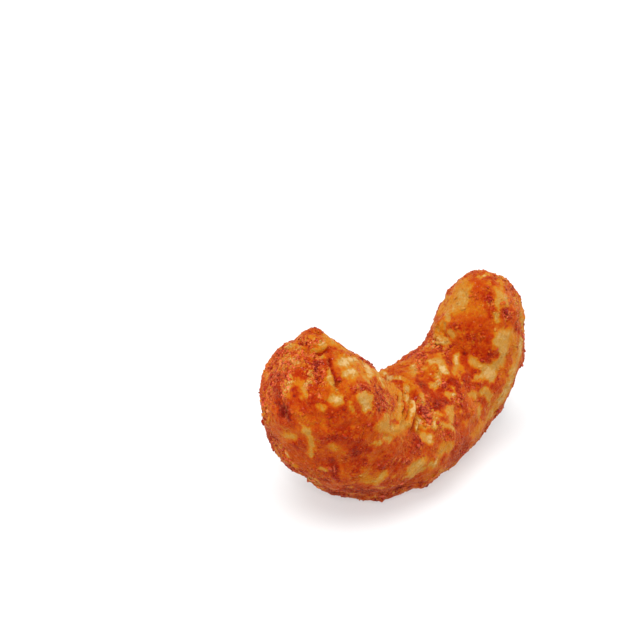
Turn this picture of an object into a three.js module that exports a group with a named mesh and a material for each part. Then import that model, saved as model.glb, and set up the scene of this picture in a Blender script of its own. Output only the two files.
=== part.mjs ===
// A spiced cashew kernel, as it grew: one thick curl of nut that stands on the back of its curve.
//
// Millimetres, +Z up. The curl lies in the XZ plane. Its blunt end rises at -X and its slim end at +X,
// and the belly between them has a small flat spot at z = 0, which it rests on.
// The origin is in the middle of the nut, on the surface that it stands on.

import * as THREE from 'three';
import { mergeVertices } from 'three/addons/utils/BufferGeometryUtils.js';

const LENGTH = 30;            // of the whole nut, along X
const FLAT_SPOT_DEPTH = 0.4;  // how much the belly is flattened where the nut rests
const BLUNT_CAP = 5.7;        // stretch over which the blunt end rounds off
const SLIM_CAP = 5.0;         // the same at the slim end

const SIDES = 36;             // of each cross section
const SLICES = 56;            // from the blunt end to the slim end

// Cross sections in order from the blunt tip to the slim tip. Each has its centre, how deep the nut is from
// there to the back of the curl and to the hollow of it, and half its thickness across the curl.
const SECTIONS = [
  { centre: [-9.6, 0.8, 17.5], back: 4.4, hollow: 3.8, half: 4.6 },
  { centre: [-9.5, 0.5, 13.8], back: 5.5, hollow: 4.7, half: 5.8 },
  { centre: [-8.0, 0.1, 9.5], back: 6.2, hollow: 4.8, half: 6.1 },
  { centre: [-4.7, -0.4, 6.3], back: 6.2, hollow: 4.8, half: 6.0 },
  { centre: [-0.1, -0.3, 5.1], back: 5.3, hollow: 5.2, half: 5.8 },
  { centre: [4.8, 0.2, 5.5], back: 5.4, hollow: 6.1, half: 4.9 },
  { centre: [8.8, 0.5, 8.2], back: 5.3, hollow: 5.0, half: 4.5 },
  { centre: [10.4, 0.7, 12.3], back: 4.5, hollow: 4.4, half: 4.3 },
  { centre: [10.5, 0.5, 17.2], back: 3.8, hollow: 3.8, half: 3.9 },
];

// Broad swellings and dents: a place near the surface, how far each spreads and how far it lifts the surface.
const SWELLINGS = [
  { at: [-9.5, 1.7, 17.7], spread: 1.3, lift: 0.8 },   // nub of the germ at the blunt end
  { at: [-6.4, 0.3, 15.7], spread: 2.0, lift: -0.5 },  // dent beside the nub
  { at: [-1.6, -1.4, 10.0], spread: 2.2, lift: 0.8 },  // lip of the fold, in the hollow of the curl
  { at: [-2.8, -3.8, 9.4], spread: 2.0, lift: 0.5 },   // the same lip on the flank
];

const ACROSS = new THREE.Vector3(0, 1, 0); // across the curl

const spine = new THREE.CatmullRomCurve3(
  SECTIONS.map(({ centre }) => new THREE.Vector3(...centre)), false, 'centripetal');
const girth = new THREE.CatmullRomCurve3(
  SECTIONS.map(({ back, hollow, half }) => new THREE.Vector3(back, hollow, half)), false, 'centripetal');
spine.arcLengthDivisions = 400;

// How full a section is, from 0 at a tip to 1 past its cap: a quarter of an ellipse.
function fullness(distanceFromTip, cap) {
  const toGo = Math.max(0, 1 - distanceFromTip / cap);
  return Math.sqrt(1 - toGo * toGo);
}

// A point of the skin. along runs from 0 at the blunt tip to 1 at the slim tip, and around is the angle from
// the back of the curl.
function skinPoint(along, around) {
  const total = spine.getLength();
  const t = spine.getUtoTmapping(along);
  const centre = spine.getPoint(t);
  const tangent = spine.getTangent(t);
  const [back, hollow, half] = girth.getPoint(t).toArray();
  const full = fullness(along * total, BLUNT_CAP) * fullness((1 - along) * total, SLIM_CAP);

  const outwards = new THREE.Vector3().crossVectors(ACROSS, tangent).normalize();
  const sideways = new THREE.Vector3().crossVectors(tangent, outwards);
  const depth = Math.cos(around) > 0 ? back : hollow;
  return centre
    .addScaledVector(outwards, full * depth * Math.cos(around))
    .addScaledVector(sideways, full * half * Math.sin(around));
}

// A ball whose poles are the two tips: each of its points is moved to its place on the skin.
function skin() {
  const ball = new THREE.SphereGeometry(1, SIDES, SLICES);
  ball.deleteAttribute('normal');
  ball.deleteAttribute('uv');
  const closed = mergeVertices(ball);
  const places = closed.attributes.position;
  const point = new THREE.Vector3();
  for (let i = 0; i < places.count; i++) {
    point.fromBufferAttribute(places, i);
    places.setXYZ(i, ...skinPoint((1 - point.y) / 2, Math.atan2(point.z, point.x)).toArray());
  }
  return closed;
}

// Lifts the skin along its normals at each of the SWELLINGS.
function swell(geometry) {
  geometry.computeVertexNormals();
  const { position, normal } = geometry.attributes;
  const point = new THREE.Vector3();
  const facing = new THREE.Vector3();
  for (let i = 0; i < position.count; i++) {
    point.fromBufferAttribute(position, i);
    facing.fromBufferAttribute(normal, i);
    let lift = 0;
    for (const { at, spread, lift: most } of SWELLINGS) {
      lift += most * Math.exp(-point.distanceToSquared(new THREE.Vector3(...at)) / spread ** 2);
    }
    position.setXYZ(i, ...point.addScaledVector(facing, lift).toArray());
  }
}

// Brings the nut to its LENGTH, stands it on z = 0 and presses the flat spot into its belly.
function settle(geometry) {
  geometry.computeBoundingBox();
  const size = geometry.boundingBox.getSize(new THREE.Vector3());
  geometry.scale(...Array(3).fill(LENGTH / size.x));
  geometry.computeBoundingBox();
  const middle = geometry.boundingBox.getCenter(new THREE.Vector3());
  const lowest = geometry.boundingBox.min.z + FLAT_SPOT_DEPTH;
  geometry.translate(-middle.x, -middle.y, -lowest);
  const places = geometry.attributes.position;
  for (let i = 0; i < places.count; i++) {
    places.setZ(i, Math.max(0, places.getZ(i)));
  }
}

const roastedSpice = new THREE.MeshStandardMaterial({ color: '#c4622a', roughness: 0.5, metalness: 0 });

const geometry = skin();
swell(geometry);
settle(geometry);
geometry.computeVertexNormals();

const kernel = new THREE.Mesh(geometry, roastedSpice);
kernel.name = 'kernel';

const spicedCashew = new THREE.Group();
spicedCashew.add(kernel);

export default spicedCashew;
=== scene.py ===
"""Spiced cashew nut.

One whole fried cashew kernel with an oily orange-red spice crust, standing on the back of its curl.
The kernel is sculpted and stained from the frame's plain solid. Loose spice sticks to it in three sizes:
dust, grains and crumbs. Everything is in metres, +Z up, in the frame's own place.
"""

import math

import bpy
import numpy as np
from bpy.props import FloatProperty, FloatVectorProperty, IntProperty, PointerProperty
from bpy.types import Operator, Panel, PropertyGroup
from mathutils import Matrix, Vector, noise


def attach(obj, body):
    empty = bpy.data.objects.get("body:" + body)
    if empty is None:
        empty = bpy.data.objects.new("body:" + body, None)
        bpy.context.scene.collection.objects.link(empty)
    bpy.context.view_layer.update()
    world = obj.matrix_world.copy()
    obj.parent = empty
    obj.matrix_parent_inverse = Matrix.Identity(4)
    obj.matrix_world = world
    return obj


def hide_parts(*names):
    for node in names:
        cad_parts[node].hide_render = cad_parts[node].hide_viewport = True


bl_info = {
    "name": "Spiced Cashew Nut",
    "version": (1, 0, 0),
    "blender": (4, 5, 0),
    "location": "3D View > Sidebar > Cashew",
    "description": "Builds a fried cashew kernel with a granular spice crust",
    "category": "Object",
}

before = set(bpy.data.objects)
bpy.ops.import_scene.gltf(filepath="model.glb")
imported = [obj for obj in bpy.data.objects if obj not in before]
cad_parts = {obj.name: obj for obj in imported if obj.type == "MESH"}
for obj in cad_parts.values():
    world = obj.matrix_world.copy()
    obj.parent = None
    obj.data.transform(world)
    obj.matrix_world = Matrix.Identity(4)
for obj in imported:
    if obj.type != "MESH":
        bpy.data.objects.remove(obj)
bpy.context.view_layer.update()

MM = 0.001

# The photographed view. A pixel is counted from the left and from the top of a square picture.
PICTURE = 640
SENSOR = 36 * MM
LENS = 80 * MM
VIEW_AZIMUTH = math.radians(-39.5)
VIEW_ELEVATION = math.radians(29.0)
VIEW_DISTANCE = 133.2 * MM
AIM = Vector((0, 0, 8 * MM))
AIM_PIXEL = (404.6, 398.0)

# How deeply the spice has stained the nut, from bare flesh to scorched crust. A number added to one of them
# in the tables below is a touch deeper, and one taken away a touch paler.
BARE, TAN, AMBER, ORANGE, RUST, RED, MAROON, SCORCHED = 0.04, 0.18, 0.34, 0.50, 0.60, 0.70, 0.86, 1.0

# Ridges, creases and corrections of the outline that are seen on the near side: how high in mm, half width
# in mm, and the pixels that each runs through
CREASES = (
    # The broad outline
    (-0.6, 2.0, (350, 499), (368, 500), (387, 498), (399, 494)),
    (-0.44, 1.3, (305, 479), (327, 492)),
    (-0.52, 1.9, (514, 288), (520, 298), (525, 309), (526, 318)),
    (-0.24, 1.9, (526, 330)),
    (-0.32, 1.5, (446, 301), (440, 310)),
    (0.14, 1.0, (278, 352), (272, 359)),
    (0.18, 0.9, (264, 376), (263, 390), (264, 408)),
    (-0.36, 1.2, (401, 360), (409, 355), (417, 349)),
    (0.2, 0.9, (383, 373)),
    (-0.28, 0.8, (362, 359), (368, 365)),
    # The fold, where the broad lobe's edge laps over the middle of the curl
    (-0.3, 0.45, (383, 377), (393, 384), (404, 388), (413, 394), (419, 404), (422, 418), (423, 430)),
    (0.46, 0.18, (386, 376), (390, 378), (395, 379), (401, 379), (408, 383), (413, 388), (417, 394)),
    (-0.34, 0.2, (391, 383), (398, 383), (405, 386), (410, 391)),
    (-0.26, 0.18, (386, 371), (395, 375), (404, 375), (411, 379), (417, 386), (421, 394)),
    (0.1, 0.16, (399, 372), (411, 374)),
    (0.22, 0.17, (399, 392), (400, 404), (399, 416), (396, 429)),
    (-0.24, 0.13, (403, 391), (403, 404), (402, 418)),
    (0.26, 0.2, (405, 388), (407, 400)),
    (-0.22, 0.13, (410, 391), (410, 402), (409, 411), (406, 420)),
    (0.32, 0.22, (414, 401), (414, 409), (412, 417), (409, 425)),
    (-0.14, 0.14, (418, 402), (418, 411), (415, 418), (413, 430)),
    (0.28, 0.2, (419, 420), (417, 429)),
    (-0.35, 0.13, (397, 396), (397, 403)),
    (0.14, 0.16, (392, 386), (394, 396)),
    (0.22, 0.2, (435, 417), (435, 428)),
    # The ledge at the root of the slim arm
    (0.24, 0.17, (441, 322), (438, 328), (437, 335), (441, 342)),
    (-0.2, 0.2, (445, 325), (443, 332), (446, 337)),
    # The torn tip and the shoulder below it
    (-0.42, 0.5, (313, 331), (322, 333)),
    (-0.3, 0.45, (320, 331), (324, 333)),
    (-0.22, 0.26, (297, 343), (301, 345)),
    (-0.34, 0.15, (314, 357), (318, 354), (322, 352), (327, 350)),
    (0.28, 0.2, (312, 350), (319, 350), (326, 348)),
    (0.24, 0.22, (286, 346), (293, 345), (300, 345), (304, 348)),
    (-0.28, 0.18, (300, 343), (305, 348), (306, 354)),
    (-0.32, 0.16, (330, 359), (331, 367), (334, 376), (337, 386)),
    (0.2, 0.17, (328, 368), (331, 376), (334, 383)),
    (0.1, 0.2, (320, 340), (326, 345)),
    (-0.16, 0.22, (313, 360), (316, 368), (319, 380)),
    # Small folds of skin low on the broad lobe
    (0.16, 0.18, (283, 451), (289, 458), (297, 465)),
    (-0.14, 0.16, (281, 455), (287, 462), (295, 469)),
    (-0.22, 0.24, (281, 403), (284, 408), (285, 416)),
    (0.1, 0.14, (352, 473), (358, 473), (364, 470)),
    (-0.14, 0.14, (352, 476), (360, 476)),
    (0.16, 0.3, (376, 484), (381, 477), (387, 472)),
    (0.14, 0.3, (409, 474), (417, 466), (426, 461)),
)

# Broad soft stains on the near side, and paler rims that are partly painted rim light: how deep, half width
# in mm, and the pixels that each runs through
WASHES = (
    # The broad lobe
    (RUST, 1.0, (268, 366), (282, 354), (300, 352)),
    (RUST, 1.0, (272, 374), (284, 378)),
    (RED, 0.7, (269, 380), (276, 393)),
    (RED, 0.5, (273, 376), (273, 392)),
    (ORANGE, 0.5, (265, 404), (268, 416), (272, 430)),
    (RED, 0.75, (290, 380), (300, 385), (309, 386)),
    (AMBER, 0.45, (291, 399), (297, 406)),
    (RED, 0.6, (300, 371), (312, 382), (320, 387)),
    (ORANGE, 0.8, (322, 390), (334, 395), (347, 386)),
    (AMBER, 0.9, (342, 362), (352, 372)),
    (RED, 0.6, (308, 391), (318, 396)),
    (RED, 0.9, (290, 406), (306, 410), (322, 414)),
    (RED, 0.9, (300, 427), (316, 427), (326, 422)),
    (AMBER, 0.4, (398, 411), (406, 426)),
    (RUST, 0.8, (322, 414), (345, 413)),
    (ORANGE, 0.7, (296, 414), (304, 420)),
    (ORANGE, 0.9, (285, 438), (300, 434), (312, 440), (318, 426)),
    (RUST, 0.8, (300, 444), (296, 452), (306, 458)),
    (RUST, 1.1, (322, 440), (345, 444), (352, 425)),
    (ORANGE, 0.8, (340, 452), (345, 465), (360, 472), (378, 456)),
    (RED, 0.8, (345, 434), (362, 448)),
    (RED, 0.7, (348, 458), (356, 472)),
    (RUST, 0.9, (305, 468), (320, 476), (330, 486)),
    (MAROON, 0.8, (335, 492), (352, 487), (368, 491)),
    (AMBER, 0.5, (365, 474), (370, 484)),
    (TAN, 0.8, (383, 428), (398, 424)),
    (AMBER, 0.8, (373, 374), (383, 382), (395, 389)),
    (RUST, 0.9, (374, 440), (392, 450), (404, 448)),
    (RED, 0.7, (380, 464), (396, 462), (408, 458)),
    (RED, 0.7, (388, 484), (404, 484)),
    # The middle and the slim arm
    (ORANGE, 0.9, (388, 370), (404, 366), (414, 362)),
    (RUST, 0.6, (420, 352), (426, 362)),
    (RED, 1.0, (442, 390), (458, 392), (464, 405)),
    (MAROON, 0.5, (450, 382), (456, 396)),
    (RED, 0.6, (450, 414), (458, 420)),
    (RED, 0.6, (448, 444), (462, 444)),
    (RED, 0.8, (412, 445), (426, 453)),
    (RUST, 0.6, (437, 432), (434, 450)),
    (RED, 0.6, (428, 396), (436, 402)),
    (RED, 0.6, (440, 402), (448, 406)),
    (RED, 0.8, (452, 428), (458, 440), (452, 458)),
    (ORANGE, 0.7, (470, 420), (478, 412)),
    (RUST, 0.8, (455, 345), (470, 345)),
    (RED, 0.5, (464, 334), (474, 337)),
    (RED, 0.7, (465, 374), (470, 388)),
    (RUST, 0.6, (456, 376), (448, 372)),
    (ORANGE, 0.7, (470, 398), (474, 406)),
    (ORANGE, 0.6, (496, 390), (494, 400)),
    (ORANGE, 0.6, (506, 380), (504, 390)),
    (AMBER - 0.06, 1.1, (460, 284), (460, 306)),
    (ORANGE - 0.05, 0.8, (474, 300), (482, 312)),
    (RUST, 0.8, (480, 286), (484, 294)),
    (ORANGE + 0.05, 0.8, (460, 320), (478, 322), (495, 326)),
    (AMBER, 0.6, (438, 330), (446, 322)),
    (ORANGE, 0.6, (450, 324), (462, 334)),
    (RUST, 0.7, (478, 332), (492, 334)),
    (AMBER, 0.6, (435, 320), (440, 316)),
    # Paler along the slim arm's right rim: partly paler flesh, partly painted rim light
    (TAN - 0.08, 0.6, (521, 338), (520, 350), (516, 366)),
    (TAN - 0.06, 0.7, (509, 384), (501, 400), (491, 414)),
    (AMBER, 0.5, (482, 424), (474, 436)),
    (AMBER - 0.04, 0.6, (500, 292), (504, 302)),
    (TAN, 0.8, (500, 338), (506, 336), (502, 350)),
    (AMBER, 0.6, (512, 336), (516, 350), (514, 360)),
    (TAN, 0.7, (488, 372), (500, 360)),
    (TAN, 0.6, (423, 462), (412, 470)),
    (TAN, 0.6, (443, 450), (450, 446)),
    (RED, 0.6, (464, 438), (466, 444)),
)

# Small crisp stains, among them a few painted highlights and painted shades, in the same form
STAINS_AND_PAINTED_LIGHT = (
    # The torn tip
    (RUST, 0.45, (310, 331), (319, 334)),
    (RED, 0.32, (304, 339), (307, 345), (312, 343)),
    (MAROON, 0.12, (306, 343), (309, 348)),
    (AMBER, 0.24, (311, 336), (314, 338)),
    (AMBER, 0.42, (328, 338), (334, 342), (322, 344)),
    (TAN, 0.2, (321, 343), (325, 345)),
    (TAN + 0.08, 0.24, (325, 336), (334, 343), (345, 350)),
    # Paler along the top of the ridge: partly paler flesh, partly a painted highlight
    (TAN, 0.15, (312, 350), (318, 351), (325, 349)),
    (RED, 0.26, (329, 350), (333, 349), (334, 354)),
    (ORANGE, 0.32, (334, 353), (337, 360)),
    (TAN, 0.17, (318, 358), (324, 357)),
    # Painted shade: a dark line in the crease under the pale ridge
    (SCORCHED, 0.11, (317, 355), (321, 353), (325, 351)),
    (MAROON, 0.2, (314, 355), (316, 360)),
    (MAROON, 0.36, (315, 364), (318, 372), (320, 380)),
    (RED, 0.3, (324, 362), (327, 367)),
    # Painted shade: a dark line along the crease
    (MAROON, 0.17, (330, 360), (331, 367), (333, 374), (336, 384)),
    (TAN, 0.12, (329, 371), (331, 377), (334, 383)),
    (TAN, 0.26, (328, 379), (332, 384)),
    # The crusted shoulder
    # Paler along the top of the shoulder's ridge: partly paler flesh, partly a painted highlight
    (AMBER, 0.22, (289, 348), (295, 348), (301, 349)),
    (TAN, 0.13, (288, 346), (298, 345), (303, 348)),
    (RED, 0.3, (282, 351), (286, 354)),
    (MAROON, 0.12, (300, 344), (304, 346)),
    (ORANGE, 0.45, (284, 358), (286, 367)),
    (TAN, 0.22, (293, 364), (299, 362)),
    (TAN, 0.12, (291, 358), (294, 360)),
    (RED, 0.36, (303, 356), (306, 361)),
    (RED, 0.36, (303, 366), (309, 372)),
    (MAROON, 0.22, (276, 362), (277, 368)),
    (RED, 0.3, (268, 366), (272, 368)),
    (MAROON, 0.34, (274, 374), (283, 377)),
    (RED, 0.4, (272, 382), (279, 387)),
    (RED, 0.3, (262, 382), (263, 387)),
    (AMBER, 0.22, (265, 373), (267, 379)),
    (TAN, 0.24, (291, 376), (292, 381), (287, 387)),
    (AMBER, 0.36, (297, 382), (304, 385)),
    (TAN, 0.18, (311, 373), (312, 379), (307, 385)),
    (MAROON, 0.16, (293, 391), (294, 395)),
    (SCORCHED, 0.07, (293, 393), (294, 395)),
    (TAN + 0.04, 0.24, (303, 391), (306, 395)),
    (TAN, 0.12, (301, 397), (303, 398)),
    (AMBER, 0.2, (285, 391), (289, 396)),
    # The pale patches under the torn tip
    (ORANGE, 0.3, (338, 369), (341, 371)),
    (TAN, 0.45, (342, 363), (348, 361), (356, 360)),
    (BARE, 0.26, (343, 364), (347, 362)),
    (BARE, 0.22, (352, 359), (356, 359)),
    (ORANGE, 0.12, (351, 364), (352, 367)),
    (TAN, 0.42, (346, 374), (353, 373)),
    (BARE, 0.2, (348, 374), (352, 372)),
    (AMBER, 0.32, (360, 362), (362, 374)),
    (BARE, 0.4, (366, 365), (370, 375)),
    (BARE, 0.16, (381, 372), (385, 374)),
    (TAN, 0.34, (376, 371), (381, 377), (383, 385)),
    (TAN, 0.24, (366, 378), (369, 382)),
    (SCORCHED, 0.12, (369, 363), (372, 366)),
    (RED, 0.38, (355, 388), (360, 386), (366, 388)),
    (MAROON, 0.16, (362, 388), (365, 390)),
    (RED, 0.26, (352, 393), (357, 393)),
    (TAN, 0.09, (356, 386), (357, 388)),
    (BARE, 0.5, (362, 398), (366, 405)),
    (TAN, 0.36, (358, 398), (364, 396), (371, 398)),
    (TAN, 0.3, (366, 408), (370, 404)),
    (RUST, 0.26, (352, 396), (355, 404), (359, 408)),
    (TAN, 0.42, (333, 400), (340, 400), (336, 404)),
    (BARE, 0.14, (334, 401), (338, 400)),
    (TAN, 0.3, (321, 407), (323, 408)),
    (TAN, 0.1, (325, 405), (327, 409)),
    (RUST, 0.22, (337, 386), (338, 391)),
    (TAN, 0.08, (335, 388), (337, 392)),
    (TAN, 0.2, (350, 403), (350, 409)),
    (RED, 0.45, (331, 411), (337, 412), (344, 411)),
    # The crust between the pale patches and the fold
    (RED, 0.5, (378, 389), (381, 396), (385, 404)),
    (MAROON, 0.44, (380, 400), (379, 407), (383, 408)),
    (RED, 0.42, (389, 396), (391, 405)),
    (MAROON, 0.18, (393, 400), (394, 405)),
    # Painted shade: a dark line in the slot
    (SCORCHED, 0.08, (397, 397), (397, 401)),
    (TAN, 0.3, (380, 379), (383, 386)),
    (BARE, 0.12, (380, 379), (382, 383)),
    (RED, 0.24, (374, 379), (376, 385)),
    (AMBER, 0.2, (378, 372), (384, 376)),
    # The fold's edge and its ribs. The pale line along the edge is partly pale flesh and partly a painted
    # highlight, and the dark line just under it is painted shadow
    (TAN, 0.1, (383, 373), (388, 376), (394, 378), (400, 378)),
    (BARE - 0.04, 0.14, (384, 374), (389, 377), (395, 379), (401, 378)),
    (TAN - 0.06, 0.09, (403, 379), (409, 383), (415, 389)),
    (RED, 0.26, (391, 370), (400, 372)),
    (ORANGE, 0.3, (400, 362), (409, 363)),
    (RED, 0.2, (403, 366), (409, 367)),
    (TAN, 0.12, (387, 370)),
    # Painted shadow: the dark line just under the fold's edge
    (MAROON, 0.13, (394, 381), (400, 381)),
    (RED, 0.3, (399, 384), (408, 387)),
    (AMBER, 0.16, (388, 383), (392, 388)),
    (TAN, 0.13, (400, 393), (400, 405), (399, 416), (397, 426)),
    (AMBER, 0.34, (406, 388), (407, 400)),
    (AMBER, 0.12, (403, 391), (403, 399)),
    (RUST, 0.24, (404, 403), (406, 410)),
    (AMBER, 0.38, (414, 400), (414, 409), (411, 418), (408, 424)),
    (TAN, 0.22, (409, 424), (403, 427)),
    (ORANGE, 0.13, (417, 409), (416, 417)),
    (RUST, 0.18, (412, 423), (413, 431)),
    (TAN, 0.1, (421, 418), (422, 421)),
    (AMBER, 0.24, (424, 424), (425, 428)),
    (RED, 0.26, (414, 392), (415, 398)),
    (AMBER, 0.38, (418, 419), (417, 429)),
    (TAN, 0.24, (422, 395), (422, 401)),
    # Painted highlight below the fold
    (TAN, 0.12, (385, 414), (388, 417)),
    (RED, 0.22, (391, 421), (396, 421)),
    # The dark crust beside the ribs
    (MAROON, 0.4, (419, 382), (423, 386)),
    (MAROON, 0.16, (425, 390), (424, 392)),
    (MAROON, 0.3, (421, 406), (421, 413)),
    (MAROON, 0.4, (426, 413), (429, 419)),
    (MAROON, 0.36, (428, 404), (432, 408)),
    (MAROON, 0.34, (434, 405), (438, 410)),
    (RED, 0.38, (410, 432), (416, 437)),
    (MAROON, 0.2, (426, 423), (429, 424)),
    (TAN, 0.1, (427, 427), (429, 427)),
    (TAN, 0.22, (435, 418), (435, 426)),
    (SCORCHED, 0.07, (437, 421), (438, 423)),
    (RED, 0.24, (441, 418), (444, 420)),
    (RED, 0.5, (436, 396), (442, 398)),
    (MAROON, 0.44, (432, 401), (438, 403), (445, 402)),
    # The windows of bare flesh at the root of the slim arm
    (RED, 0.3, (405, 357), (413, 353)),
    (RED, 0.36, (414, 353), (419, 358)),
    (TAN, 0.32, (413, 366), (415, 373)),
    (TAN, 0.2, (424, 370), (426, 368)),
    (RED, 0.28, (426, 356), (424, 363)),
    (MAROON, 0.28, (431, 352), (437, 351), (439, 348)),
    (RED, 0.26, (441, 350), (449, 352)),
    (TAN, 0.5, (432, 361), (437, 360), (443, 365)),
    (TAN - 0.04, 0.34, (431, 362), (436, 361)),
    (BARE, 0.28, (442, 368), (446, 372)),
    (ORANGE, 0.28, (431, 370), (433, 372)),
    (TAN, 0.4, (437, 377), (439, 381), (433, 386)),
    (BARE, 0.16, (438, 379), (439, 381)),
    (RED, 0.3, (447, 358), (449, 365), (451, 369)),
    (RED, 0.28, (452, 357), (452, 363)),
    (TAN, 0.28, (457, 356), (456, 362), (457, 367), (454, 373)),
    (BARE, 0.16, (456, 357), (456, 363)),
    (AMBER, 0.26, (461, 368), (461, 372)),
    (RED, 0.42, (464, 360), (468, 362)),
    (MAROON, 0.1, (465, 353), (466, 354)),
    (TAN, 0.24, (461, 377), (462, 383)),
    (MAROON, 0.36, (453, 381), (458, 386)),
    (MAROON, 0.32, (444, 381), (445, 386)),
    (TAN, 0.16, (451, 387), (454, 390), (454, 395)),
    (TAN, 0.32, (448, 394), (451, 395), (450, 397)),
    (RED, 0.36, (455, 401), (462, 399)),
    (TAN, 0.4, (470, 393), (474, 395)),
    (TAN, 0.36, (442, 338), (446, 340), (448, 344)),
    (AMBER, 0.24, (438, 336), (440, 334)),
    (MAROON, 0.11, (450, 346), (453, 345)),
    (MAROON, 0.16, (465, 338), (468, 338)),
    (TAN, 0.13, (428, 346), (430, 345)),
    (RED, 0.3, (429, 337), (432, 338)),
    # The slim arm's blunt end
    (RED, 0.24, (465, 276), (467, 277)),
    (RED, 0.22, (472, 273), (480, 272)),
    # Painted highlight on the top of the blunt end
    (BARE, 0.22, (479, 277), (483, 276), (488, 275)),
    (MAROON, 0.22, (494, 278), (498, 278)),
    (RED, 0.44, (505, 283)),
    (RED, 0.26, (494, 282), (499, 284)),
    (ORANGE, 0.2, (457, 284), (460, 284)),
    (TAN, 0.46, (461, 293), (465, 298), (463, 303)),
    (TAN, 0.22, (455, 305), (454, 310)),
    (TAN, 0.18, (466, 291), (471, 286)),
    (RED, 0.5, (486, 296), (490, 302), (491, 308)),
    (RED, 0.3, (491, 312), (490, 318)),
    (RED, 0.34, (459, 327), (468, 326)),
    (RED, 0.32, (451, 325), (456, 326)),
    (RUST, 0.28, (482, 321), (488, 321)),
    # Painted highlight at the slim arm's root
    (TAN, 0.34, (447, 313), (448, 319)),
    (RED, 0.26, (435, 318), (437, 323)),
    (TAN - 0.08, 0.15, (441, 322), (438, 328), (437, 335), (441, 342)),
    (TAN, 0.26, (445, 325), (445, 331)),
    (TAN, 0.28, (450, 331), (453, 336)),
    (RED, 0.32, (431, 330), (432, 336)),
    (TAN + 0.05, 0.34, (499, 292), (503, 295), (507, 300)),
    (TAN, 0.26, (497, 300), (498, 309)),
    (RUST, 0.2, (505, 292), (511, 294)),
    (MAROON, 0.32, (504, 312), (508, 317)),
    (RED, 0.3, (510, 312), (512, 318)),
    (RED, 0.28, (513, 314), (515, 322), (516, 328)),
    (TAN, 0.26, (497, 315), (497, 321)),
    (TAN, 0.24, (521, 313), (522, 322), (522, 329)),
    (RED, 0.24, (518, 330), (521, 334)),
    # The slim arm's flank
    (TAN, 0.5, (498, 341), (505, 338)),
    (TAN, 0.5, (474, 361), (480, 366), (487, 367)),
    (TAN - 0.06, 0.5, (487, 371), (491, 375), (489, 379)),
    (TAN, 0.28, (493, 364), (497, 364)),
    (TAN, 0.5, (501, 346), (503, 352), (501, 361)),
    (RED, 0.55, (476, 351), (486, 355), (494, 354)),
    (MAROON, 0.16, (488, 354), (490, 357)),
    (RED, 0.3, (481, 360), (490, 361)),
    (RED, 0.24, (497, 350), (497, 357)),
    (RUST, 0.32, (510, 358), (511, 363)),
    (TAN, 0.38, (513, 368), (511, 374), (513, 380)),
    (ORANGE, 0.28, (503, 374), (504, 378)),
    (RED, 0.3, (474, 371), (479, 372)),
    (TAN, 0.28, (474, 380), (478, 378), (482, 376)),
    (MAROON, 0.11, (471, 376), (472, 378)),
    (RED, 0.36, (474, 386), (479, 386), (486, 384)),
    (TAN, 0.38, (482, 392), (486, 390), (488, 397)),
    (TAN, 0.22, (489, 400), (490, 404)),
    (RED, 0.3, (493, 388), (498, 388)),
    (RUST, 0.26, (501, 381), (503, 384)),
    (RED, 0.3, (482, 399), (484, 404)),
    (TAN, 0.36, (479, 408), (480, 415)),
    (RED, 0.32, (463, 415), (468, 416)),
    (AMBER, 0.34, (495, 404), (496, 410)),
    (TAN, 0.24, (459, 407), (460, 411)),
    (RUST, 0.26, (457, 413), (457, 420)),
    # Low on the slim arm
    (TAN, 0.22, (438, 413), (440, 414)),
    (TAN, 0.46, (448, 412), (452, 410), (451, 418)),
    (TAN, 0.2, (441, 424), (448, 426), (452, 428)),
    (TAN, 0.26, (452, 428), (453, 431)),
    (RED, 0.38, (441, 431), (441, 437)),
    (RED, 0.36, (446, 434), (452, 437)),
    (TAN, 0.4, (424, 437), (429, 440)),
    (TAN - 0.06, 0.28, (429, 436), (431, 440)),
    (MAROON, 0.3, (415, 439), (418, 441), (417, 445)),
    (MAROON, 0.14, (409, 454), (412, 452)),
    (RED, 0.44, (394, 459), (401, 460), (408, 461)),
    (AMBER, 0.2, (444, 446), (449, 446)),
    (TAN, 0.42, (421, 463), (416, 466), (411, 471)),
    (TAN, 0.32, (422, 469), (414, 474), (408, 477)),
    (TAN, 0.24, (430, 464), (434, 466)),
    (BARE, 0.18, (437, 458), (436, 462)),
    (RED, 0.32, (445, 456), (442, 463)),
    (RED, 0.36, (453, 452), (452, 456)),
    (RED, 0.36, (450, 461), (456, 458)),
    (AMBER, 0.28, (441, 471), (446, 470)),
    (ORANGE, 0.3, (427, 477), (432, 478)),
    (MAROON, 0.24, (421, 482), (424, 483)),
    (MAROON, 0.2, (408, 487), (412, 489)),
    (MAROON, 0.16, (399, 487), (404, 487)),
    (MAROON, 0.18, (465, 446), (468, 446)),
    # The broad lobe's rim and belly
    (RED, 0.4, (263, 392), (266, 397)),
    (RED, 0.4, (271, 390), (274, 396)),
    (RED, 0.4, (277, 392), (279, 399)),
    (RED, 0.16, (270, 425), (271, 430)),
    (MAROON, 0.34, (286, 407), (288, 413), (286, 418)),
    (MAROON, 0.32, (280, 411), (283, 418)),
    (RED, 0.4, (282, 422), (290, 422)),
    (RED, 0.34, (272, 440), (280, 452), (288, 461)),
    (MAROON, 0.24, (287, 463), (296, 471)),
    (RED, 0.16, (303, 410), (305, 414)),
    (TAN, 0.34, (305, 430), (308, 433)),
    (RUST, 0.26, (317, 425), (317, 434)),
    (TAN, 0.28, (311, 438), (312, 446), (311, 454)),
    (TAN, 0.28, (286, 436), (293, 436), (296, 438)),
    (AMBER, 0.18, (281, 434), (282, 436)),
    (SCORCHED, 0.12, (276, 439), (279, 441)),
    (RED, 0.36, (300, 441), (303, 444)),
    (RED, 0.32, (293, 445), (297, 449)),
    (RED, 0.2, (281, 451), (284, 454)),
    (TAN, 0.1, (286, 453), (289, 457)),
    (RED, 0.46, (325, 440), (331, 438), (337, 436)),
    (MAROON, 0.26, (331, 438), (338, 437)),
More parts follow.
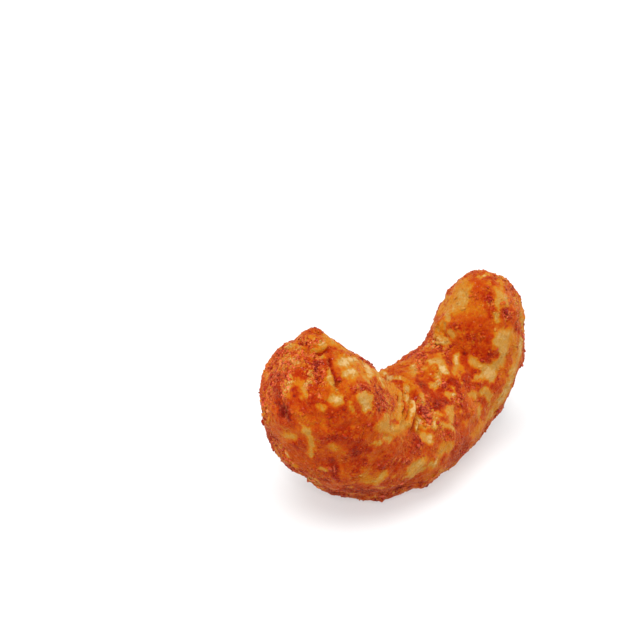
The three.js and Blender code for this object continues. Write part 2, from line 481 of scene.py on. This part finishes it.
    (AMBER, 0.34, (332, 446), (336, 448)),
    (RED, 0.44, (343, 433), (350, 437)),
    (MAROON, 0.42, (354, 451), (359, 453)),
    (RED, 0.42, (361, 449), (368, 448)),
    (MAROON, 0.12, (366, 447), (368, 449)),
    (RED, 0.4, (358, 459), (362, 463)),
    (MAROON, 0.16, (365, 459), (366, 463)),
    (MAROON, 0.42, (331, 461), (334, 468), (335, 477)),
    (RED, 0.32, (321, 461), (326, 462)),
    (TAN, 0.24, (321, 468), (326, 470)),
    (MAROON, 0.24, (322, 479), (327, 481)),
    (MAROON, 0.22, (299, 469), (305, 474)),
    (TAN + 0.08, 0.12, (290, 462), (297, 468)),
    (TAN, 0.22, (308, 477), (315, 479), (320, 484)),
    (AMBER, 0.16, (340, 491), (344, 491)),
    (MAROON, 0.26, (362, 486), (362, 489)),
    (RED, 0.42, (366, 487), (374, 488)),
    (TAN, 0.09, (349, 487), (351, 487)),
    (MAROON, 0.22, (352, 496), (366, 498)),
    (TAN, 0.28, (382, 475), (386, 473)),
    (TAN, 0.3, (377, 482), (381, 478)),
    (AMBER, 0.26, (376, 488), (382, 488)),
    (RED, 0.42, (378, 464), (388, 462)),
    (MAROON, 0.1, (380, 469), (384, 468)),
    (RED, 0.4, (388, 481), (394, 483)),
    (TAN, 0.08, (393, 477), (396, 475)),
    (TAN, 0.3, (384, 438), (389, 439)),
    (TAN, 0.24, (375, 442), (380, 442)),
    # The last touches, over the other stains
    # Paler rib tops in the fold: partly pale flesh, partly painted highlight
    (BARE + 0.03, 0.24, (406, 389), (407, 399)),
    (BARE, 0.22, (414, 401), (414, 407), (413, 411)),
    (BARE + 0.06, 0.16, (413, 411), (410, 418)),
    (TAN, 0.14, (411, 417), (409, 422)),
    (BARE, 0.26, (418, 420), (417, 427)),
    (BARE + 0.06, 0.14, (435, 418), (435, 423)),
    (BARE, 0.18, (351, 359), (356, 359)),
    (TAN, 0.13, (400, 395), (400, 405), (399, 416)),
    (RED + 0.04, 0.42, (464, 379), (468, 388)),
    (RED, 0.34, (455, 403), (458, 408)),
    (RED, 0.3, (484, 333), (490, 336)),
    (TAN, 0.28, (316, 483)),
    (RED + 0.06, 0.55, (272, 376), (276, 384), (278, 394)),
    (MAROON + 0.06, 0.4, (283, 408), (287, 416)),
    (SCORCHED, 0.24, (280, 404), (283, 409)),
)

# Thick dry crust on the near side: half width in mm, and the pixels that it runs through
CRUSTED = (
    (1.0, (284, 352), (276, 362), (270, 368)),
    (0.8, (284, 360), (280, 372), (273, 384), (270, 394)),
    (0.7, (291, 364), (288, 378), (284, 392)),
    (0.5, (304, 338), (309, 345)),
    (0.3, (312, 334), (317, 337), (321, 341)),
    (0.6, (298, 350), (307, 366)),
    (0.5, (315, 358), (318, 370), (320, 380)),
    (0.4, (311, 374), (308, 386)),
    (0.5, (264, 392), (265, 404), (267, 414)),
    (0.4, (266, 420), (270, 432)),
    (0.7, (270, 432), (277, 445), (285, 457), (297, 470), (316, 483)),
    (0.4, (328, 487), (345, 494), (364, 497), (384, 494), (404, 488)),
    (0.2, (312, 392), (320, 396)),
    (0.5, (356, 388), (363, 388)),
    (0.7, (379, 390), (382, 404), (390, 402)),
    (0.6, (416, 352), (422, 360), (420, 368)),
    (0.4, (432, 350), (438, 349), (447, 352)),
    (0.7, (424, 407), (429, 411), (427, 420)),
    (0.4, (440, 384), (445, 384)),
    (0.5, (502, 278), (508, 284)),
    (0.4, (516, 296), (517, 312), (516, 326)),
    (0.4, (521, 332), (524, 340)),
    (0.5, (506, 314), (511, 316)),
    (0.4, (487, 298), (491, 304)),
    (0.5, (434, 332), (432, 340), (436, 345)),
    (0.4, (442, 431), (443, 438)),
    (0.5, (456, 401), (461, 399)),
    (0.3, (395, 460), (408, 460)),
    (0.1, (331, 436), (340, 437)),
    (0.2, (334, 466), (335, 476)),
    (0.2, (398, 484), (408, 485)),
)

# How wide the edges of the strokes in the tables above are, in mm
SOFT_EDGE = 1.10
CRISP_EDGE = 0.42
CRUST_EDGE = 0.50

STROKE_COVER = 0.92  # how much a stroke hides of the stain under it
COMMON_STAIN = 0.56  # the depth of stain where no stroke and no patch lies
BARE_CRUST, COMMON_CRUST = 0.14, 0.42  # how thick the crust is on bare and on stained flesh
CREASE_WAVER = 0.10  # how far a crease strays from its path, in half widths
SLIM_ARM = (-1.0, 4.0)  # from where to where, along X in mm, the middle of the curl becomes the slim arm
SCULPTED_FOOT, CRUSTED_FOOT = 1.2, 0.5  # below these heights in mm the relief fades out, for a flat foot

# Noise: each turn reads a part of it that no other turn does
CLOUD_START, CLOUD_STEP = 5.0, 17.3
PEBBLE_START, PEBBLE_STEP, CHANCE_STEP = 3.0, 13.1, 7.7
LAYER_FADING, LAYER_FINENESS = 0.9, 2.0  # how much flatter and finer each layer of a cloud is than the last
PEBBLE_EDGE = 0.45  # how wide a pebble's sloping edge is, in pebbles


def ease(value, start=0, end=1):
    """A soft step from 0 at the start to 1 at the end."""
    share = np.clip((value - start) / (end - start), 0, 1)
    return share * share * (3 - 2 * share)


def clouds(places, size, turn, layers=2):
    """Cloudy noise at places in mm, with lumps of a size in mm. Its mean is 0 and its spread is 1."""
    shifted = (places / size + CLOUD_STEP * turn + CLOUD_START).tolist()
    values = np.array([noise.fractal(place, LAYER_FADING, LAYER_FINENESS, layers) for place in shifted])
    return (values - values.mean()) / values.std()


def pebbles(places, size, turn):
    """Packed pebbles of a size in mm: how far up its pebble each place is, and the pebble's own chance."""
    rise, chance = np.empty(len(places)), np.empty(len(places))
    for index, place in enumerate((places / size + PEBBLE_STEP * turn + PEBBLE_START).tolist()):
        distances, centres = noise.voronoi(place)
        rise[index] = distances[1] - distances[0]
        chance[index] = noise.cell(centres[0] * CHANCE_STEP)
    return ease(rise, end=PEBBLE_EDGE), chance


class View:
    """The photographer's place and what each pixel of the picture looks along."""

    def __init__(self):
        self.right = Vector((math.cos(VIEW_AZIMUTH), math.sin(VIEW_AZIMUTH), 0))
        level_back = Vector((math.sin(VIEW_AZIMUTH), -math.cos(VIEW_AZIMUTH), 0))
        self.back = level_back * math.cos(VIEW_ELEVATION) + Vector((0, 0, math.sin(VIEW_ELEVATION)))
        self.up = self.back.cross(self.right)
        self.place = AIM - VIEW_DISTANCE * self.along(AIM_PIXEL)

    def along(self, pixel):
        """The direction that a pixel looks along."""
        scale = SENSOR / LENS / PICTURE
        across, down = (pixel[0] - PICTURE / 2) * scale, (pixel[1] - PICTURE / 2) * scale
        return (across * self.right - down * self.up - self.back).normalized()

    def touches(self, piece, pixels):
        """The places in mm where the pixels' lines of sight meet a piece, without those that miss it."""
        casts = [piece.ray_cast(self.place, self.along(pixel)) for pixel in pixels]
        return [np.array(place) / MM for hit, place, _, _ in casts if hit]


def distance_to_path(places, path):
    """How far each place is in mm from a line through the path's points. With no points, endlessly far."""
    nearest = np.full(len(places), np.inf)
    for start, end in zip(path, path[1:] or path):
        run = end - start
        share = np.clip((places - start) @ run / max(run @ run, 1e-9), 0, 1)
        nearest = np.minimum(nearest, np.linalg.norm(places - start - share[:, None] * run, axis=1))
    return nearest


def read(mesh):
    """A mesh's vertex places in mm, and its vertex normals."""
    places = np.empty(len(mesh.vertices) * 3)
    normals = np.empty(len(mesh.vertices) * 3)
    mesh.vertices.foreach_get("co", places)
    mesh.vertices.foreach_get("normal", normals)
    return places.reshape(-1, 3) / MM, normals.reshape(-1, 3)


def write(mesh, places):
    """Moves a mesh's vertices to places in mm."""
    mesh.vertices.foreach_set("co", (places * MM).ravel())
    mesh.update()


def paint(mesh, name, values):
    """Keeps a number for each vertex under a name that a material can read."""
    mesh.attributes.new(name, "FLOAT", "POINT").data.foreach_set("value", values.astype(np.float32))


def painted(mesh, name):
    """The numbers that paint kept."""
    values = np.empty(len(mesh.vertices), np.float32)
    mesh.attributes[name].data.foreach_get("value", values)
    return values


def only(piece):
    """Selects one object and nothing else."""
    bpy.ops.object.select_all(action="DESELECT")
    piece.select_set(True)
    bpy.context.view_layer.objects.active = piece


def apply_modifier(piece, kind, **settings):
    """Adds a modifier with its settings and applies it."""
    only(piece)
    modifier = piece.modifiers.new(kind.title(), kind)
    for name, value in settings.items():
        setattr(modifier, name, value)
    bpy.ops.object.modifier_apply(modifier=modifier.name)


# What all lengths and all colours that a user can change have in common
LENGTH = {"unit": "LENGTH", "precision": 6}
COLOUR = {"subtype": "COLOR", "min": 0, "max": 1}


class CashewShape(PropertyGroup):
    """Sizes of the kernel's form and relief."""

    fineness: FloatProperty(
        name="Fineness", description="Size of the finished mesh's faces", default=0.138 * MM, **LENGTH)
    lumps: FloatProperty(
        name="Lumps", description="Height of the broad lumps of the flesh", default=0.11 * MM, **LENGTH)
    wrinkles: FloatProperty(
        name="Wrinkles", description="Height of the fried skin's wrinkles", default=0.034 * MM, **LENGTH)
    crust: FloatProperty(
        name="Crust", description="Thickness of the spice crust", default=0.17 * MM, **LENGTH)


def plain_kernel(fineness):
    """A smooth kernel of even small faces, in the place of the frame's solid."""
    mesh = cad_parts["kernel"].data.copy()
    mesh.name = "spiced_kernel"
    kernel = bpy.data.objects.new("spiced_kernel", mesh)
    bpy.context.scene.collection.objects.link(kernel)
    mesh.materials.clear()
    only(kernel)
    bpy.ops.object.mode_set(mode="EDIT")
    bpy.ops.mesh.select_all(action="SELECT")
    bpy.ops.mesh.remove_doubles(threshold=0.001 * MM)
    bpy.ops.object.mode_set(mode="OBJECT")
    apply_modifier(kernel, "SUBSURF", levels=2, render_levels=2)
    apply_modifier(kernel, "REMESH", mode="VOXEL", voxel_size=fineness)
    apply_modifier(kernel, "SMOOTH", factor=0.5, iterations=4)
    return kernel


def sculpt(kernel, view, shape):
    """Presses the creases and the fold in, and raises the lumps and ridges."""
    places, normals = read(kernel.data)
    waver = CREASE_WAVER * clouds(places, size=1.1, turn=1)
    lift = shape.lumps / MM * clouds(places, size=3.2, turn=2)
    for height, half_width, *pixels in CREASES:
        off_middle = distance_to_path(places, view.touches(kernel, pixels)) / half_width + waver
        lift += height * np.exp(-off_middle ** 2)
    lift *= ease(places[:, 2], end=SCULPTED_FOOT)
    write(kernel.data, places + normals * lift[:, None])


def covered(places, kernel, view, stroke, edge, ragged):
    """How much of each place a stroke covers, given its half width in mm and the pixels on it."""
    half_width, *pixels = stroke
    inside = half_width - distance_to_path(places, view.touches(kernel, pixels)) + ragged
    return ease(inside, -edge / 2, edge / 2)


def stain_and_painted_light(places, normals, kernel, view):
    """How deeply each place is stained, from bare flesh at 0 to scorched crust at 1, with a few painted
    highlights and painted shades among the stains.
    """
    ragged = 0.06 * clouds(places, size=0.7, turn=3, layers=3) + 0.07 * clouds(places, size=0.28, turn=4)
    swirl = 0.5 * np.stack([clouds(places, size=1.6, turn=turn) for turn in (5, 6, 7)], axis=1)
    islands = clouds(places + swirl, size=1.7, turn=8, layers=3)
    scorches = clouds(places + swirl, size=1.1, turn=10, layers=3)

    # The patches are bolder on the far side, which the strokes don't reach, and barer on the slim arm
    slim = ease(places[:, 0], *SLIM_ARM)
    near = ease(normals @ np.array(view.back), -0.05, 0.30)
    bolder = 1 - 0.55 * near
    depth = COMMON_STAIN + 0.10 * bolder * islands + 0.05 * clouds(places, size=5.0, turn=9)
    depth += (0.35 + 0.5 * slim) * bolder * ease(islands, -0.55, -1.05) * (TAN - depth)
    depth += bolder * ease(scorches, 0.9, 1.4) * (MAROON - depth)

    for strokes, edge in ((WASHES, SOFT_EDGE), (STAINS_AND_PAINTED_LIGHT, CRISP_EDGE)):
        for target, *stroke in strokes:
            depth += STROKE_COVER * covered(places, kernel, view, stroke, edge, ragged) * (target - depth)
    return depth


def crusted(places, kernel, view, depth):
    """How thickly the granular crust lies, from 0 to 1."""
    thick = BARE_CRUST + (COMMON_CRUST - BARE_CRUST) * ease(depth, 0.45, 0.75)
    patchy = 0.12 * clouds(places, size=0.6, turn=11)
    for stroke in CRUSTED:
        thick = np.maximum(thick, covered(places, kernel, view, stroke, CRUST_EDGE, patchy))
    return np.clip(thick + 0.10 * clouds(places, size=1.3, turn=12), 0, 1)


def crust_over(kernel, view, shape):
    """Stains the kernel, with a few painted highlights and shades, and raises the skin where the crust is
    thick.
    """
    places, normals = read(kernel.data)
    depth = stain_and_painted_light(places, normals, kernel, view)
    thick = crusted(places, kernel, view, depth)
    clod_rise, clod_chance = pebbles(places, size=0.52, turn=1)
    grit_rise, grit_chance = pebbles(places, size=0.30, turn=2)
    clods = clod_rise * (0.25 + 0.75 * clod_chance)
    grit = grit_rise * (0.30 + 0.70 * grit_chance)
    lift = shape.crust / MM * thick * (0.75 * clods + 0.60 * grit)
    lift += shape.wrinkles / MM * clouds(places, size=0.6, turn=13, layers=3)
    lift *= ease(places[:, 2], end=CRUSTED_FOOT)
    write(kernel.data, places + normals * lift[:, None])

    # Each grain has a stain of its own. The grains' tops are paler and the gaps between them darker, partly
    # from oil and spice settled there and partly as painted highlight and painted shade
    depth += thick * (0.16 * (grit_chance - 0.5) + 0.10 * (clod_chance - 0.5))
    depth += thick * (0.10 * (0.6 - grit_rise) + 0.06 * (0.6 - clod_rise))
    paint(kernel.data, "stain_and_painted_light", np.clip(depth, 0, 1.05))
    paint(kernel.data, "crust", thick)


class CashewSpice(PropertyGroup):
    """Colours of the flesh and the spice, and how many grains stick to it."""

    bare: FloatVectorProperty(
        name="Bare", description="Fried flesh with no spice on it", default=(0.60, 0.385, 0.155), **COLOUR)
    tan: FloatVectorProperty(
        name="Tan", description="Flesh with a thin film of oil", default=(0.465, 0.222, 0.036), **COLOUR)
    amber: FloatVectorProperty(
        name="Amber", description="Flesh soaked with yellow oil", default=(0.50, 0.156, 0.004), **COLOUR)
    orange: FloatVectorProperty(
        name="Orange", description="Flesh soaked with spiced oil", default=(0.46, 0.072, 0.002), **COLOUR)
    rust: FloatVectorProperty(
        name="Rust", description="Flesh under a film of spice", default=(0.405, 0.037, 0.001), **COLOUR)
    red: FloatVectorProperty(
        name="Red", description="Spice crust", default=(0.335, 0.015, 0.0005), **COLOUR)
    maroon: FloatVectorProperty(
        name="Maroon", description="Dark spice crust", default=(0.22, 0.006, 0.001), **COLOUR)
    scorched: FloatVectorProperty(
        name="Scorched", description="Scorched specks", default=(0.11, 0.004, 0.002), **COLOUR)
    dry: FloatVectorProperty(
        name="Dry", description="Dry powder on top of the crust", default=(0.82, 0.165, 0.070), **COLOUR)
    dust: IntProperty(name="Dust", description="Number of the finest spice grains", default=10000, min=0)
    grains: IntProperty(name="Grains", description="Number of fine spice grains", default=6200, min=0)
    crumbs: IntProperty(name="Crumbs", description="Number of coarse crumbs of spice", default=460, min=0)


def join(socket, value):
    """Links a socket to another node's, or gives it a value of its own."""
    if isinstance(value, bpy.types.NodeSocket):
        socket.id_data.links.new(value, socket)
    else:
        socket.default_value = value


def fill(made, **settings):
    """Sets what a shader node is given, on the node itself or on its sockets."""
    for name, value in settings.items():
        if hasattr(made, name):
            setattr(made, name, value)
        else:
            join(made.inputs[name.replace("_", " ")], value)
    return made


def node(tree, kind, **settings):
    """Adds a shader node with its settings."""
    return fill(tree.nodes.new(kind), **settings)


def stain_colour(tree, depth, spice):
    """The colour of a depth of stain."""
    made = node(tree, "ShaderNodeValToRGB", Fac=depth)
    colours = (
        (BARE, spice.bare), (TAN, spice.tan), (AMBER, spice.amber), (ORANGE, spice.orange),
        (RUST, spice.rust), (RED, spice.red), (MAROON, spice.maroon), (SCORCHED, spice.scorched),
    )
    elements = made.color_ramp.elements
    while len(elements) < len(colours):
        elements.new(0.5)
    for element, (position, colour) in zip(elements, colours):
        element.position = position
        element.color = (*colour, 1)
    return made.outputs["Color"]


def new_material(name):
    """A material with its node tree and its main shader."""
    material = bpy.data.materials.new(name)
    material.use_nodes = True
    tree = material.node_tree
    return material, tree, tree.nodes["Principled BSDF"]


def attribute(tree, name):
    """A number that paint kept on the mesh."""
    return node(tree, "ShaderNodeAttribute", attribute_name=name).outputs["Fac"]


def worked_out(tree, operation, *values, **settings):
    """What a Math node makes of its values."""
    made = node(tree, "ShaderNodeMath", operation=operation, **settings)
    for socket, value in zip(made.inputs, values):
        join(socket, value)
    return made.outputs[0]


def sum_of(tree, first, second, times=1.0):
    """first + times * second."""
    return worked_out(tree, "MULTIPLY_ADD", second, times, first)


def product_of(tree, first, second):
    """first * second, held between 0 and 1."""
    return worked_out(tree, "MULTIPLY", first, second, use_clamp=True)


def stretched(tree, value, before, after):
    """Moves a value from its range before to its range after, and holds it there."""
    return node(tree, "ShaderNodeMapRange", Value=value, From_Min=before[0], From_Max=before[1],
                To_Min=after[0], To_Max=after[1]).outputs["Result"]


def texture(tree, kind, size, **settings):
    """A texture in Object coordinates, with cells or lumps of a size in mm."""
    where = node(tree, "ShaderNodeTexCoord").outputs["Object"]
    return node(tree, kind, Vector=where, Scale=1 / (size * MM), **settings)


def cloud_node(tree, size, layers=2, roughness=0.55):
    """Cloudy noise with lumps of a size in mm, centred on 0."""
    made = texture(tree, "ShaderNodeTexNoise", size, Detail=layers, Roughness=roughness)
    return worked_out(tree, "SUBTRACT", made.outputs["Fac"], 0.5)


def grit_node(tree, size):
    """Packed grit of a size in mm: two chances of each grain, and how far off its middle a place is."""
    made = texture(tree, "ShaderNodeTexVoronoi", size)
    chance = node(tree, "ShaderNodeSeparateColor", Color=made.outputs["Color"])
    return chance.outputs["Red"], chance.outputs["Green"], made.outputs["Distance"]


def bumps(tree, height, depth, strength):
    """Fine relief of a depth in mm."""
    made = node(tree, "ShaderNodeBump", Height=height, Distance=depth * MM, Strength=strength)
    return made.outputs["Normal"]


# The sockets of a Mix node that mixes colours
MIX_SHARE, MIX_UNDER, MIX_OVER, MIXED = 0, 6, 7, 2


def spiced_colour(tree, spice, depth, dryness):
    """The colour of a depth of stain, under as much dry powder as dryness says."""
    powder = node(tree, "ShaderNodeMix", data_type="RGBA")
    join(powder.inputs[MIX_SHARE], dryness)
    join(powder.inputs[MIX_UNDER], stain_colour(tree, depth, spice))
    join(powder.inputs[MIX_OVER], (*spice.dry, 1))
    return powder.outputs[MIXED]


def kernel_material(spice):
    """Oily fried flesh whose colour, gloss and grain follow the stain, with its painted light and shade,
    and the crust.
    """
    material, tree, shader = new_material("fried_spiced_flesh")
    crust = attribute(tree, "crust")
    chance, other_chance, off_middle = grit_node(tree, size=0.17)

    # The stain is mottled all over and speckled by grit, and dry powder lies on some of the thick crust
    mottled = sum_of(tree, attribute(tree, "stain_and_painted_light"), cloud_node(tree, size=0.40, layers=3), times=0.14)
    speckled = sum_of(tree, mottled, cloud_node(tree, size=0.12), times=0.17)
    gritty = sum_of(tree, product_of(tree, crust, chance), crust, times=-0.5)
    stained = sum_of(tree, speckled, gritty, times=0.34)
    powder_bed = stretched(tree, crust, before=(0.45, 0.95), after=(0.0, 1.3))
    dry_grit = stretched(tree, other_chance, before=(0.62, 1.0), after=(0.0, 0.75))
    powdery = product_of(tree, powder_bed, dry_grit)

    # The crust is duller than the flesh, and spots of wet oil lie over both
    dull = stretched(tree, crust, before=(0.0, 1.0), after=(0.34, 0.55))
    uneven = sum_of(tree, dull, cloud_node(tree, size=0.25, layers=3), times=0.5)
    wet = stretched(tree, cloud_node(tree, size=0.22), before=(0.11, 0.22), after=(0.0, 0.6))

    rough = cloud_node(tree, size=0.20, layers=4, roughness=0.65)
    rougher = sum_of(tree, rough, cloud_node(tree, size=0.07), times=0.4)
    relief = sum_of(tree, rougher, product_of(tree, crust, off_middle), times=-0.8)

    fill(shader, Base_Color=spiced_colour(tree, spice, stained, powdery), Roughness=uneven,
         Normal=bumps(tree, relief, depth=0.14, strength=1.0), Specular_IOR_Level=0.03,
         Coat_Weight=wet, Coat_Roughness=0.16,
         Subsurface_Weight=0.15, Subsurface_Radius=(1.0, 0.42, 0.16), Subsurface_Scale=0.5 * MM,
         Sheen_Weight=0.40, Sheen_Roughness=0.40, Sheen_Tint=(1.0, 0.44, 0.12, 1))
    return material


def grain_material(spice):
    """Ground chilli and paprika, damp with oil. Each grain has a stain and a dryness of its own."""
    material, tree, shader = new_material("ground_spice")
    mottled = sum_of(tree, attribute(tree, "stain_and_painted_light"), cloud_node(tree, size=0.10), times=0.20)
    uneven = stretched(tree, cloud_node(tree, size=0.08), before=(-0.5, 0.5), after=(0.2, 0.6))
    pitted = bumps(tree, cloud_node(tree, size=0.05, layers=3), depth=0.03, strength=0.6)
    fill(shader, Base_Color=spiced_colour(tree, spice, mottled, attribute(tree, "crust")),
         Roughness=uneven, Normal=pitted, Specular_IOR_Level=0.15,
         Subsurface_Weight=0.2, Subsurface_Radius=(1.0, 0.3, 0.1), Subsurface_Scale=0.15 * MM)
    return material


class CASHEW_OT_kernel(Operator):
    """Make the fried kernel with its fold, creases, lumps, crust and stain"""

    bl_idname = "cashew.kernel"
    bl_label = "Kernel"

    def execute(self, context):
        shape = context.scene.cashew_shape
        view = View()
        kernel = plain_kernel(shape.fineness)
        sculpt(kernel, view, shape)
        crust_over(kernel, view, shape)
        only(kernel)
        bpy.ops.object.shade_smooth()
        kernel.data.materials.append(kernel_material(context.scene.cashew_spice))
        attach(kernel, "root")
        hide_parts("kernel")
        return {"FINISHED"}


# The three sizes of loose spice: from and to how many mm across, and the segments and rings of a grain
DUST = ("spice_dust", 0.07, 0.13, 4, 3)
GRAINS = ("spice_grains", 0.12, 0.26, 5, 4)
CRUMBS = ("spice_crumbs", 0.26, 0.50, 7, 5)
SPICE_SEED = 7
GRAIN_SHAPES = 6
GRAIN_DENTS = 0.28  # how deeply a grain is dented, as a share of its size
GRAIN_LEAN = 0.35  # how far a grain leans off the skin
MANY_SMALL = 1.8  # the higher, the more of the grains are small
CLEAR_FOOT = 0.4  # no spice lies below this height in mm


def rough_grain(rng, segments, rings):
    """Places and faces of one angular grain, about 2 across."""
    bpy.ops.mesh.primitive_uv_sphere_add(segments=segments, ring_count=rings, radius=1)
    ball = bpy.context.object
    places = np.array([vertex.co for vertex in ball.data.vertices])
    places *= 1 + GRAIN_DENTS * rng.uniform(-1, 1, (len(places), 1))
    faces = [list(face.vertices) for face in ball.data.polygons]
    bpy.data.objects.remove(ball)
    return places, faces


def turned(rng, normal):
    """A random turn whose third direction leans near the normal."""
    away = Vector(normal + GRAIN_LEAN * rng.normal(size=3)).normalized()
    spin = Matrix.Rotation(rng.uniform(0, math.tau), 3, "Z")
    return np.array(away.to_track_quat("Z", "Y").to_matrix() @ spin)


def scatter(kernel, rng, count, kind):
    """Strews grains of one kind over the kernel, most where its crust is thick, as one mesh."""
    name, smallest, largest, segments, rings = kind
    places, normals = read(kernel.data)
    crust, depth = painted(kernel.data, "crust"), painted(kernel.data, "stain_and_painted_light")
    clumps = clouds(places, size=1.2, turn=20)
    chance = (0.03 + crust ** 2) * np.exp(0.6 * clumps) * (places[:, 2] > CLEAR_FOOT)
    picked = rng.choice(len(places), count, p=chance / chance.sum())
    shapes = [rough_grain(rng, segments, rings) for _ in range(GRAIN_SHAPES)]
    every_place, every_face, stains_and_painted_light, dryness, start = [], [], [], [], 0
    for at in picked:
        grain, faces = shapes[rng.integers(len(shapes))]
        size = smallest * (largest / smallest) ** (rng.uniform() ** MANY_SMALL) / 2
        stretch = size * np.array((rng.uniform(0.8, 1.5), rng.uniform(0.6, 1.0), rng.uniform(0.4, 0.8)))
        centre = places[at] + normals[at] * size * rng.uniform(-0.15, 0.20)
        every_place.append((grain * stretch) @ turned(rng, normals[at]).T + centre)
        every_face.extend([[start + corner for corner in face] for face in faces])
        shade = depth[at] + rng.normal(0.02, 0.10)
        stains_and_painted_light.append(np.full(len(grain), np.clip(shade, 0.2, 0.9)))
        dryness.append(np.full(len(grain), np.clip(rng.normal(0.0, 0.30), 0, 0.70) * crust[at]))
        start += len(grain)
    made = bpy.data.meshes.new(name)
    made.from_pydata((np.concatenate(every_place) * MM).tolist(), [], every_face)
    paint(made, "stain_and_painted_light", np.concatenate(stains_and_painted_light))
    paint(made, "crust", np.concatenate(dryness))
    piece = bpy.data.objects.new(name, made)
    bpy.context.scene.collection.objects.link(piece)
    only(piece)
    bpy.ops.object.shade_smooth()
    return piece


class CASHEW_OT_spice(Operator):
    """Strew the dust, the fine grains and the coarse crumbs of spice over the kernel"""

    bl_idname = "cashew.spice"
    bl_label = "Spice"

    def execute(self, context):
        spice = context.scene.cashew_spice
        rng = np.random.default_rng(SPICE_SEED)
        kernel = bpy.data.objects["spiced_kernel"]
        material = grain_material(spice)
        for count, kind in ((spice.dust, DUST), (spice.grains, GRAINS), (spice.crumbs, CRUMBS)):
            piece = scatter(kernel, rng, count, kind)
            piece.data.materials.append(material)
            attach(piece, "root")
        return {"FINISHED"}


class CashewStage(PropertyGroup):
    """The plain white setting and its soft lights."""

    surround: FloatProperty(name="Surround", description="Brightness of the white surround", default=0.62)
    daylight: FloatProperty(
        name="Daylight", description="Strength of the broad light from above", default=2.9)
    table: FloatProperty(name="Table", description="Glow of the lit white table", default=0.48)
    key: FloatProperty(name="Key", description="Power of the key light", default=0.11, unit="POWER")
    rim: FloatProperty(
        name="Rim", description="Power of the lights from the two sides", default=0.056, unit="POWER")


WHITE = (1, 1, 1, 1)
FLOOR_GREY = (0.44, 0.44, 0.44, 1)
SUN_LEAN = math.radians(15)
SUN_TURN = math.radians(-68)
SUN_WIDTH = math.radians(40)
LEFT_SHARE = 0.35  # how much of the right rim light's power the left one has


def soft_light(name, place, size, power):
    """A square area light at a place in mm, of a size in mm, that faces the nut."""
    place = Vector(place) * MM
    bpy.ops.object.light_add(type="AREA", location=place)
    light = bpy.context.object
    light.name = name
    light.rotation_euler = (AIM - place).to_track_quat("-Z", "Y").to_euler()
    light.data.size = size * MM
    light.data.energy = power


class CASHEW_OT_stage(Operator):
    """Lay the white floor, hang the soft lights and place the camera"""

    bl_idname = "cashew.stage"
    bl_label = "Stage"

    def execute(self, context):
        stage = context.scene.cashew_stage
        bpy.ops.mesh.primitive_plane_add(size=2.0)
        floor = bpy.context.object
        floor.name = "floor"
        material, _, shader = new_material("white_floor")
        fill(shader, Base_Color=FLOOR_GREY, Roughness=0.9, Specular_IOR_Level=0.1,
             Emission_Color=WHITE, Emission_Strength=stage.table)
        floor.data.materials.append(material)

        world = bpy.data.worlds.new("white_surround")
        world.use_nodes = True
        fill(world.node_tree.nodes["Background"], Color=WHITE, Strength=stage.surround)
        context.scene.world = world
        bpy.ops.object.light_add(type="SUN", location=(0, 0, 300 * MM), rotation=(SUN_LEAN, 0, SUN_TURN))
        sun = bpy.context.object
        sun.name = "daylight"
        sun.data.energy = stage.daylight
        sun.data.angle = SUN_WIDTH
        soft_light("key_light", place=(-120, -120, 160), size=20, power=stage.key)
        soft_light("right_rim_light", place=(142, -40, 30), size=60, power=stage.rim)
        soft_light("left_rim_light", place=(-115, 60, 20), size=60, power=LEFT_SHARE * stage.rim)

        view = View()
        bpy.ops.object.camera_add(location=view.place)
        camera = bpy.context.object
        camera.rotation_euler = Matrix((view.right, view.up, view.back)).transposed().to_euler()
        camera.data.lens = LENS / MM
        camera.data.sensor_width = SENSOR / MM
        camera.data.clip_start = 1 * MM
        context.scene.camera = camera
        context.scene.view_settings.view_transform = "Standard"
        return {"FINISHED"}


class CASHEW_PT_panel(Panel):
    """Lists the nut's sizes, colours and steps"""

    bl_label = "Spiced Cashew"
    bl_space_type = "VIEW_3D"
    bl_region_type = "UI"
    bl_category = "Cashew"

    def draw(self, context):
        layout = self.layout
        for group, operator in (
            (context.scene.cashew_shape, "cashew.kernel"),
            (context.scene.cashew_spice, "cashew.spice"),
            (context.scene.cashew_stage, "cashew.stage"),
        ):
            box = layout.box()
            for name in group.bl_rna.properties.keys():
                if name not in ("rna_type", "name"):
                    box.prop(group, name)
            box.operator(operator)


CLASSES = (
    CashewShape,
    CashewSpice,
    CashewStage,
    CASHEW_OT_kernel,
    CASHEW_OT_spice,
    CASHEW_OT_stage,
    CASHEW_PT_panel,
)


def register():
    """Makes the classes and the settings known to Blender."""
    for each in CLASSES:
        bpy.utils.register_class(each)
    bpy.types.Scene.cashew_shape = PointerProperty(type=CashewShape)
    bpy.types.Scene.cashew_spice = PointerProperty(type=CashewSpice)
    bpy.types.Scene.cashew_stage = PointerProperty(type=CashewStage)


def unregister():
    """Takes back what register did."""
    del bpy.types.Scene.cashew_stage
    del bpy.types.Scene.cashew_spice
    del bpy.types.Scene.cashew_shape
    for each in reversed(CLASSES):
        bpy.utils.unregister_class(each)


def main():
    """Builds the nut and its stage."""
    register()
    bpy.ops.cashew.kernel()
    bpy.ops.cashew.spice()
    bpy.ops.cashew.stage()


if __name__ == "__main__":
    main()
